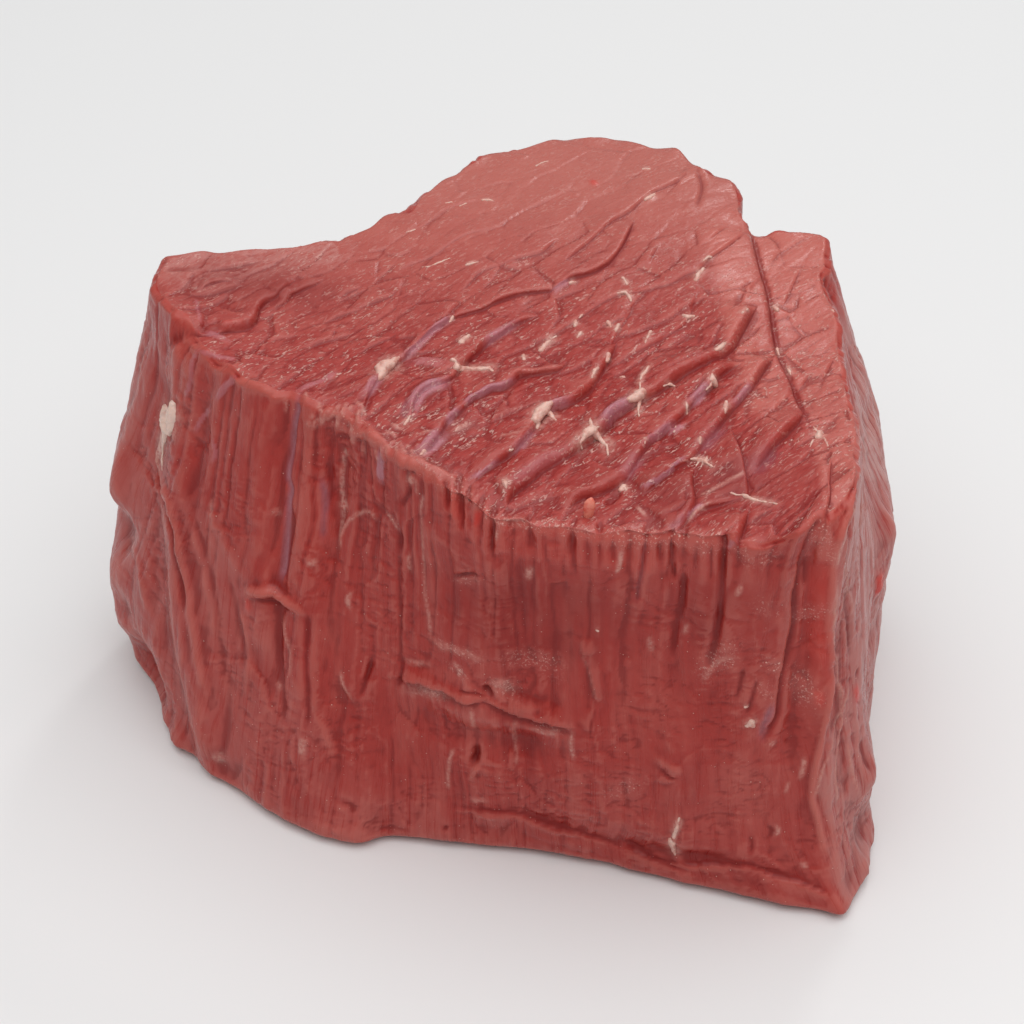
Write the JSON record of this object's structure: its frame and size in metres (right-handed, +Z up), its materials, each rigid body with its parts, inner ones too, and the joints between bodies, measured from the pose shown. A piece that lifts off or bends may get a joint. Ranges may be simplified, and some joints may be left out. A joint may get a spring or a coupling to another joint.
{
  "type": "top round roast",
  "caption": "Raw boneless beef roast: a thick block of lean muscle cut flat across the grain, with upright fibres down its walls, a seam between its muscles and a flat resting face.",
  "frame": {"origin": "middle of the bounding box of the block, at its resting face", "axes": "+Z up out of the cut face, -Y out of the broad front wall, +X towards the narrow muscle on the right"},
  "size_m": [0.1688, 0.138, 0.1038],
  "materials": {
    "meat": "moist satin, raw lean beef"
  },
  "bodies": {
    "root": {"roast": "meat"}
  },
  "joints": []
}
